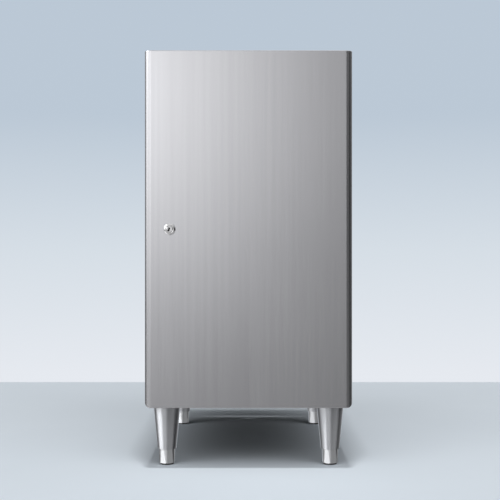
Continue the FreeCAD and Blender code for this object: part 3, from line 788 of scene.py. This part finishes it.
# Screws: domed head with a cross recess, threaded shank with a point; the heads face the back
screws = {
    "back_panel_screws": {
        "name": "backScrews", "headRadius": 0.004, "head": 0.0022,
        "stemCore": 0.0016, "stemRadius": 0.0021, "pitch": 0.0015,
    },
    "liner_screws": {
        "name": "linerScrews", "headRadius": 0.0036, "head": 0.0018,
        "stemCore": 0.00145, "stemRadius": 0.0019, "pitch": 0.0014,
    },
    "lock_cam_screw": {
        "name": "camScrew", "headRadius": 0.005, "head": 0.0026,
        "stemCore": 0.0016, "stemRadius": 0.002, "pitch": 0.0008,
    },
}
screwForm = {
    "rim": 0.35,  # share of the head's height
    "domeSteps": 9,
    "headSteps": 40,
    "shankSteps": 24,
    "shankInHead": 0.2,  # share of the head's height
    "point": 1.5,  # point, tip and sink are shares of the core's radius
    "tip": 1 / 6,
    "threadSink": 0.125,
    "threadSteps": 20,
    "apart": 0.02,
    "smooth": 32,
}
recess = {"reach": 0.55, "width": 0.17, "depth": 0.6, "taper": 0.6}  # shares of the head's radius and height


def buildScrew(name, look, length):
    radius, head, core = look["headRadius"], look["head"], look["stemCore"]
    crown = domeRun(radius, screwForm["rim"] * head, head, screwForm["domeSteps"])
    screw = turnOnLathe(name, crown + [(radius, 0), (0, 0)], origin, upwards, screwForm["headSteps"])
    reach, width, depth = recess["reach"] * radius, recess["width"] * radius, recess["depth"] * head
    for x, y in ((reach, width), (width, reach)):
        blade = addBlock("recessBlade", (-x, -y, head - depth), (x, y, 2 * head))
        startEdit(blade)
        pick("FACE", lambda f: f.normal.z < -facing)
        bpy.ops.transform.resize(value=(recess["taper"], recess["taper"], 1))
        endEdit()
        carve(screw, blade)
    start, point, tip = screwForm["shankInHead"] * head, screwForm["point"] * core, screwForm["tip"] * core
    shank = [(0, start), (core, start), (core, point - length), (tip, -length), (0, -length)]
    shank = turnOnLathe(name + "Shank", shank, origin, upwards, screwForm["shankSteps"])
    wound = dict(look, threadSink=screwForm["threadSink"] * core, threadSteps=screwForm["threadSteps"])
    return joinPieces(name, [screw, shank, buildThread(wound, origin, point - length, 0)])


def buildScrews():
    for node, look in screws.items():
        seats = seatsOf(node, screwForm["apart"])
        length = seats[0][1].y - seats[0][0].y - look["head"]
        pattern = buildScrew("screwPattern", look, length)
        faceBack(pattern, 1)
        shifts = [middleOf(low, high, y=high.y - look["head"]) for low, high in seats]
        plant(pattern, node, look["name"], shifts, screwForm["smooth"])


# Rivets: domed head and a flattened tail with a dimple; a head faces the back where its side is 1
rivets = {
    "hinge_fixed_rivets": {"name": "hingeFixedSet", "side": -1},
    "hinge_moving_rivets": {"name": "hingeMovingSet", "side": 1},
    "strike_rivets": {"name": "strikeRivetsSet", "side": -1},
}
rivet = {
    "radius": 0.0016,
    "headRadius": 0.003,
    "head": 0.001,  # height of the head, and of the tail
    "rim": 0.00015,
    "domeSteps": 9,
    "tailEdge": 0.0005,
    "tailSteps": 5,
    "dimple": (0.001, 0.00075, 0.0004),  # radius at the mouth and the floor, depth
    "steps": 40,
    "apart": 0.02,
    "smooth": 32,
}


def buildRivet(name, grip):
    radius, wide, head, edge = rivet["radius"], rivet["headRadius"], rivet["head"], rivet["tailEdge"]
    mouth, floor, depth = rivet["dimple"]
    end = -grip - head
    profile = domeRun(wide, rivet["rim"], head, rivet["domeSteps"])
    profile += [(wide, 0), (radius, 0), (radius, -grip), (wide, -grip)]
    profile += arcRun((wide - edge, end + edge), edge, 0, -90, rivet["tailSteps"])
    profile += [(mouth, end), (floor, end + depth), (0, end + depth)]
    return turnOnLathe(name, profile, origin, upwards, rivet["steps"])


def buildRivets():
    head = rivet["head"]
    for node, look in rivets.items():
        seats = seatsOf(node, rivet["apart"])
        pattern = buildRivet("rivetPattern", seats[0][1].y - seats[0][0].y - 2 * head)
        faceBack(pattern, look["side"])
        faces = [high.y - head if look["side"] > 0 else low.y + head for low, high in seats]
        shifts = [middleOf(low, high, y=face) for (low, high), face in zip(seats, faces)]
        plant(pattern, node, look["name"], shifts, rivet["smooth"])


# Grommets in the lower back panel, one for each line
grommet = {
    "wall": 0.0025,
    "lip": 0.004,
    "lipThickness": 0.0018,
    "sheet": 0.001,
    "edge": 0.0007,
    "edgeSteps": 5,
    "steps": 72,
    "smooth": 32,
}


def buildGrommet(name, place, bore):
    half, edge, arcSteps = grommet["sheet"] / 2, grommet["edge"], grommet["edgeSteps"]
    end = half + grommet["lipThickness"]
    neck = bore + grommet["wall"]
    rim = neck + grommet["lip"]
    profile = arcRun((bore + edge, edge - end), edge, -180, -90, arcSteps)
    profile += arcRun((rim - edge, edge - end), edge, -90, 0, arcSteps)
    profile += [(rim, -half), (neck, -half), (neck, half), (rim, half)]
    profile += arcRun((rim - edge, end - edge), edge, 0, 90, arcSteps)
    profile += arcRun((bore + edge, end - edge), edge, 90, 180, arcSteps)
    return turnOnLathe(name, profile, place, backwards, grommet["steps"])


def buildGrommets():
    mounts = [m for m in frame["record"]["mounts"] if m["name"].endswith("grommet")]
    rings = [buildGrommet(m["name"], m["pos_m"], m["dims"]["r_mm"] / 1000) for m in mounts]
    settle(joinPieces("hoseGrommets", rings), "back_grommets", grommet["smooth"])


# Rubber channels on the cut edges of the deck and the back
trim = {
    "wall": 0.0012,
    "reach": 0.006,
    "fit": 0.00005,
    "sheet": 0.0015,
    "cornerRadius": 0.010,
    "cornerSteps": 10,
    "edge": 0.0004,
    "smooth": 40,
}


def roundedBlock(name, low, high, radius):
    block = addBlock(name, low, high)
    startEdit(block)
    pick("EDGE", lambda e: runsAlong(e, upwards))
    roundPicked(radius, trim["cornerSteps"])
    endEdit()
    return block


def buildDeckTrim():
    # ring with a groove from above, which takes the deck's collar
    low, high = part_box("deck_edge_trim")
    wall, fit, sheet = trim["wall"], trim["fit"], trim["sheet"]
    outer = trim["cornerRadius"] + sheet + wall

    def inset(name, step, bottom, top):
        insetLow = low + Vector((step, step, bottom))
        insetHigh = high + Vector((-step, -step, top))
        return roundedBlock(name, insetLow, insetHigh, outer - step)

    ring = inset("deckTrim", 0, 0, 0)
    carve(ring, inset("trimWindow", 2 * wall + sheet, -wall, wall))
    groove = inset("trimGroove", wall - fit, wall, wall)
    carve(groove, inset("trimTongue", wall + sheet + fit, 0, 2 * wall))
    carve(ring, groove)
    softenEdges(ring, trim["edge"])
    settle(ring, "deck_edge_trim", trim["smooth"])


def buildBackTrims():
    low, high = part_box("back_edge_trim")
    wall, reach, fit = trim["wall"], trim["reach"], trim["fit"]
    edges = ((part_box("lower_back_panel")[1].z, -1), (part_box("back_panel")[0].z, 1))
    channels = []
    for edge, side in edges:
        hem, crest, floor = edge + side * reach, edge - side * wall, edge - side * fit
        outline = [(low.y, hem), (low.y, crest), (high.y, crest), (high.y, hem), (high.y - wall, hem)]
        outline += [(high.y - wall, floor), (low.y + wall, floor), (low.y + wall, hem)]
        points = [Vector((low.x, y, z)) for y, z in outline]
        channel = pushOut("backTrim", points, Vector((high.x - low.x, 0, 0)))
        softenEdges(channel, trim["edge"])
        channels.append(channel)
    settle(joinPieces("backTrims", channels), "back_edge_trim", trim["smooth"])


# Bumpers on the door's liner: moulded buttons with a dimple
bumper = {
    "edge": 0.0016,
    "edgeSteps": 7,
    "dimple": 0.4,  # share of the button's radius, half of it at the floor
    "dimpleDepth": 0.0005,
    "dimpleLip": (0.0004, 0.0002),  # width and depth
    "steps": 56,
    "apart": 0.03,
    "smooth": 32,
}


def buildBumpers():
    seats = seatsOf("door_bumpers", bumper["apart"])
    low, high = seats[0]
    radius, height, edge = (high.x - low.x) / 2, high.y - low.y, bumper["edge"]
    dimple, floor = bumper["dimple"] * radius, height - bumper["dimpleDepth"]
    lip, drop = bumper["dimpleLip"]
    profile = [(0, 0), (radius, 0)]
    profile += arcRun((radius - edge, height - edge), edge, 0, 90, bumper["edgeSteps"])
    profile += [(dimple + lip, height), (dimple, height - drop), (dimple / 2, floor), (0, floor)]
    pattern = turnOnLathe("bumperPattern", profile, origin, upwards, bumper["steps"])
    faceBack(pattern, 1)
    shifts = [middleOf(a, b, y=a.y) for a, b in seats]
    plant(pattern, "door_bumpers", "doorBumpers", shifts, bumper["smooth"])


# Hexagon nuts with chamfered corners, and the studs that they hold
nuts = {
    "lock": {"flats": 0.025, "height": 0.005, "bore": 0.00965},
    "leg": {"flats": 0.019, "height": 0.010, "bore": 0.00615},
}
nutForm = {
    "sides": 6,
    "face": 0.95,  # radius of the flat face, as a share of the half width across the flats
    "chamfer": 30,
    "sink": 0.1,  # countersink, as a share of the bore
    "outerSteps": 72,
    "boreSteps": 48,
    "apart": 0.05,
    "smooth": 20,
}
stud = {
    "radius": 0.006,
    "headRadius": 0.010,
    "head": 0.005,
    "headEdge": 0.002,
    "headSteps": 6,
    "edge": 0.001,
    "stemCore": 0.0053,
    "stemRadius": 0.006,
    "pitch": 0.00175,
    "threadSink": 0.0005,
    "threadSteps": 32,
    "thread": 0.017,
    "steps": 56,
    "apart": 0.05,
    "smooth": 32,
}


def buildNut(name, look):
    half, mid, bore = look["flats"] / 2, look["height"] / 2, look["bore"]
    halfSide = math.pi / nutForm["sides"]
    corner, face = half / math.cos(halfSide), nutForm["face"] * half
    cut = (corner - face) * math.tan(math.radians(nutForm["chamfer"]))
    clearSelection()
    bpy.ops.mesh.primitive_cylinder_add(
        vertices=nutForm["sides"], radius=corner, depth=2 * mid, rotation=(0, 0, halfSide)
    )
    nut = nameNew(name)
    barrel = [(0, -mid), (face, -mid), (corner, cut - mid), (corner, mid - cut), (face, mid), (0, mid)]
    carve(nut, turnOnLathe("nutBarrel", barrel, origin, upwards, nutForm["outerSteps"]), "INTERSECT")
    sink = nutForm["sink"] * bore
    wide, end = bore + 2 * sink, mid + sink
    drill = [(0, -end), (wide, -end), (bore, sink - mid), (bore, mid - sink), (wide, end), (0, end)]
    carve(nut, turnOnLathe("nutDrill", drill, origin, upwards, nutForm["boreSteps"]))
    return nut


def buildNuts():
    lockNut = buildNut("nutPattern", nuts["lock"])
    faceBack(lockNut, 1)
    plant(lockNut, "lock_nut", "lockNut", [middleOf(*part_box("lock_nut"))], nutForm["smooth"])
    legNut = buildNut("nutPattern", nuts["leg"])
    shifts = [middleOf(*seat) for seat in seatsOf("leg_nuts", nutForm["apart"])]
    plant(legNut, "leg_nuts", "legNuts", shifts, nutForm["smooth"])


def buildStuds():
    seats = seatsOf("leg_studs", stud["apart"])
    length, edge = seats[0][1].z - seats[0][0].z, stud["edge"]
    radius, core = stud["radius"], stud["stemCore"]
    head, headEdge = stud["headRadius"], stud["headEdge"]
    threadFrom = length - stud["thread"]
    profile = [(0, 0), (head - headEdge, 0)]
    profile += arcRun((head - headEdge, headEdge), headEdge, -90, 0, stud["headSteps"])
    profile += [(head, stud["head"]), (radius, stud["head"]), (radius, threadFrom - edge), (core, threadFrom)]
    profile += [(core, length - edge), (core - edge, length), (0, length)]
    shank = turnOnLathe("studPattern", profile, origin, upwards, stud["steps"])
    pattern = joinPieces("studPattern", [shank, buildThread(stud, origin, threadFrom, length)])
    shifts = [middleOf(low, high, z=low.z) for low, high in seats]
    plant(pattern, "leg_studs", "legStuds", shifts, stud["smooth"])


# Cam: flat arm that turns behind the strike plate
cam = {"tipRadius": 0.00375, "tipSteps": 8, "endSteps": 24, "eye": 0.007, "edge": 0.00025, "smooth": 32}


def buildCam():
    low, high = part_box("lock_cam")
    half, reach, thickness = (high.x - low.x) / 2, high.z - lockAxis.z, high.y - low.y
    tip, eye = cam["tipRadius"], cam["eye"] / 2
    outline = arcRun((0, 0), half, 180, 360, cam["endSteps"])
    outline += arcRun((half - tip, reach - tip), tip, 0, 90, cam["tipSteps"])
    outline += arcRun((tip - half, reach - tip), tip, 90, 180, cam["tipSteps"])
    points = [Vector((lockAxis.x + x, low.y, lockAxis.z + z)) for x, z in outline]
    arm = pushOut("lockCam", points, Vector((0, thickness, 0)))
    eyePlace = Vector((lockAxis.x, (low.y + high.y) / 2, lockAxis.z))
    eyeReach = Vector((eye, thickness, eye))
    carve(arm, addBlock("camEye", eyePlace - eyeReach, eyePlace + eyeReach))
    softenEdges(arm, cam["edge"])
    settle(arm, "lock_cam", cam["smooth"])


buildScrews()
buildRivets()
buildGrommets()
buildDeckTrim()
buildBackTrims()
buildBumpers()
buildNuts()
buildStuds()
buildCam()
print("fittings made")


# Stage: floor, camera, lamp and the studio round them
stage = {
    "cameraPlace": (0.003, -2.286, 0.4363),
    "lens": 72.71,
    "sensor": 36.0,
    "floorLow": (-0.95, -0.78, -0.0002),
    "floorHigh": (0.95, 1.05, -0.0002),
    "floorShades": ((0.71, 0.775, 0.835), (0.74, 0.805, 0.865)),
    "floorCloud": (1.5, 1.5, 1.5),
    "floorDetail": 3.0,
    "floorRoughness": 0.9,
    "floorGloss": 0.0,
}
softbox = {"place": (0, -2.4, 12.0), "aim": (0, 0, 0), "size": (1.2, 1.0), "watts": 560}


def buildFloor():
    low, high = Vector(stage["floorLow"]), Vector(stage["floorHigh"])
    clearSelection()
    bpy.ops.mesh.primitive_plane_add(size=1, location=(low + high) / 2)
    bpy.context.object.scale = (high.x - low.x, high.y - low.y, 1)
    floor = nameNew("studioFloor")
    finish, tree, shader = newFinish("floorPaint")
    cloud = span(tree, speckle(tree, stage["floorCloud"], stage["floorDetail"]))
    setInputs(tree, shader, {
        "Base Color": shades(tree, cloud, *stage["floorShades"]),
        "Roughness": stage["floorRoughness"],
        "Specular IOR Level": stage["floorGloss"],
    })
    floor.data.materials.append(finish)
    floor.visible_glossy = False  # the studio round stands for it in the metal


def buildCamera():
    clearSelection()
    bpy.ops.object.camera_add(location=stage["cameraPlace"], rotation=(math.pi / 2, 0, 0))
    camera = bpy.context.object
    camera.name = "photoCamera"
    camera.data.lens = stage["lens"]
    camera.data.sensor_width = stage["sensor"]
    bpy.context.scene.camera = camera


def buildSoftbox():
    clearSelection()
    towards = Vector(softbox["aim"]) - Vector(softbox["place"])
    turned = towards.to_track_quat("-Z", "Y").to_euler()
    bpy.ops.object.light_add(type="AREA", location=softbox["place"], rotation=turned)
    light = bpy.context.object
    light.name = "topSoftbox"
    light.data.energy = softbox["watts"]
    light.data.shape = "RECTANGLE"
    light.data.size, light.data.size_y = softbox["size"]
    light.visible_camera = light.visible_glossy = False  # the studio round stands for it in the metal


# Studio seen in the metal: brightness by the direction's turn from the front, in degrees to the right,
# for directions towards the floor, below the camera's height, near it and well above it
studio = {
    "ground": [
        (-180, 0.40), (-150, 0.34), (-136, 0.12), (-122, 0.14), (-107, 1.25), (-54, 1.35), (-42, 0.55),
        (-20, 0.42), (0, 0.40), (30, 0.38), (52, 0.45), (66, 0.62), (80, 0.62), (91, 0.08), (99, 0.02),
        (127, 0.02), (142, 0.28), (158, 0.40), (180, 0.40),
    ],
    "lower": [
        (-180, 0.32), (-140, 0.22), (-120, 0.10), (-100, 0.16), (-60, 0.36), (-14, 0.40), (0, 0.29),
        (6, 0.22), (14, 0.14), (50, 0.12), (62, 0.05), (90, 0.03), (104, 0.10), (124, 0.16), (140, 0.28),
        (180, 0.32),
    ],
    "upper": [
        (-180, 0.50), (-140, 0.34), (-124, 0.22), (-110, 0.40), (-92, 1.55), (-60, 1.60), (-35, 1.50),
        (-14, 2.00), (-6, 1.82), (-3, 1.30), (0, 0.94), (4, 0.60), (8, 0.27), (12, 0.05), (26, 0.08),
        (36, 0.12), (50, 0.12), (60, 0.02), (82, 0.02), (98, 0.12), (124, 0.20), (140, 0.34), (180, 0.50),
    ],
    "high": [
        (-180, 0.90), (-125, 0.80), (-104, 0.90), (-96, 6.50), (-54, 6.50), (-44, 0.50), (0, 0.40),
        (12, 0.30), (28, 0.50), (60, 0.40), (95, 0.50), (125, 0.70), (180, 0.90),
    ],
    "overhead": 1.0,
    "brightest": 6.5,  # what a full ramp stands for
    "sink": (-0.34, -0.20),  # ground gives way to lower
    "rise": (-0.17, 0.16),  # lower gives way to upper
    "lift": (0.25, 0.36),  # upper gives way to high
    "crown": (0.60, 0.88),  # high gives way to overhead
    "fill": ((0.035, 0.035, 0.035), (1.75, 1.76, 1.78)),  # what matt surfaces see, behind and in front
    "fillTurn": (0.0, 0.6),
    "fillRise": (0.08, 0.60),  # the fill grows upwards
    "behind": (0.80, 0.97),  # the studio gives way to the backdrop
    "backdrop": [
        (-1.0, (0.66, 0.73, 0.79)), (-0.12, (0.79, 0.82, 0.87)), (0.0, (0.67, 0.73, 0.79)),
        (0.13, (0.50, 0.58, 0.67)), (1.0, (0.48, 0.56, 0.66)),
    ],
}


def calculate(tree, operation, first, second):
    return addNode(tree, "ShaderNodeMath", {0: first, 1: second}, operation=operation).outputs[0]


def addRamp(tree, factor, stops):
    ramp = addNode(tree, "ShaderNodeValToRGB", {"Fac": factor})
    bar = ramp.color_ramp.elements
    while len(bar) < len(stops):
        bar.new(0.5)  # anywhere: each is moved to its place
    for mark, (place, colour) in zip(bar, stops):
        mark.position = place
        mark.color = (*colour, 1)
    return ramp.outputs["Color"]


def blendAlong(tree, place, limits, below, above):
    share = rescale(tree, place, limits, interpolation_type="SMOOTHSTEP")
    return mixColours(tree, share, below, above)


def metalRound(tree, turn, height):
    # what the metal sees all round, as shares of the brightest
    share = rescale(tree, turn, (-math.pi, math.pi))
    rounds = []
    for name in ("ground", "lower", "upper", "high"):
        stops = [((angle + 180) / 360, (value / studio["brightest"],) * 3) for angle, value in studio[name]]
        rounds.append(addRamp(tree, share, stops))
    rounds.append((*(studio["overhead"] / studio["brightest"],) * 3, 1))
    seen = rounds[0]
    for limits, above in zip(("sink", "rise", "lift", "crown"), rounds[1:]):
        seen = blendAlong(tree, height, studio[limits], seen, above)
    return seen


def buildWorld():
    world = bpy.data.worlds.new("studioRound")
    bpy.context.scene.world = world
    world.use_nodes = True
    tree = world.node_tree
    tree.nodes.clear()
    direction = addNode(tree, "ShaderNodeTexCoord").outputs["Generated"]
    parts = addNode(tree, "ShaderNodeSeparateXYZ", {"Vector": direction}).outputs
    forward = calculate(tree, "MULTIPLY", parts["Y"], -1.0)
    turn = calculate(tree, "ARCTAN2", parts["X"], forward)
    stops = [((height + 1) / 2, colour) for height, colour in studio["backdrop"]]
    backdrop = addRamp(tree, rescale(tree, parts["Z"], (-1, 1)), stops)
    share = (*(1 / studio["brightest"],) * 3, 1)
    dimmed = mixColours(tree, 1.0, backdrop, share, blend_type="MULTIPLY")
    bright = blendAlong(tree, parts["Y"], studio["behind"], metalRound(tree, turn, parts["Z"]), dimmed)
    dim, full = [(*colour, 1) for colour in studio["fill"]]
    ahead = blendAlong(tree, forward, studio["fillTurn"], dim, full)
    matt = blendAlong(tree, parts["Z"], studio["fillRise"], dim, ahead)
    seen = addNode(tree, "ShaderNodeBackground", {"Color": backdrop}).outputs[0]
    mirrored = {"Color": bright, "Strength": studio["brightest"]}
    mirrored = addNode(tree, "ShaderNodeBackground", mirrored).outputs[0]
    fill = addNode(tree, "ShaderNodeBackground", {"Color": matt}).outputs[0]
    path = addNode(tree, "ShaderNodeLightPath").outputs
    direct = calculate(tree, "LESS_THAN", path["Diffuse Depth"], 0.5)  # no matt surface on the way
    sharp = calculate(tree, "MAXIMUM", path["Is Glossy Ray"], path["Is Transmission Ray"])
    sharp = calculate(tree, "MULTIPLY", sharp, direct)
    inner = addNode(tree, "ShaderNodeMixShader", {0: sharp, 1: fill, 2: mirrored}).outputs[0]
    outer = addNode(tree, "ShaderNodeMixShader", {0: path["Is Camera Ray"], 1: inner, 2: seen}).outputs[0]
    addNode(tree, "ShaderNodeOutputWorld", {"Surface": outer})


buildFloor()
buildCamera()
buildSoftbox()
buildWorld()
bpy.context.scene.view_settings.view_transform = "Standard"
print("stage made")
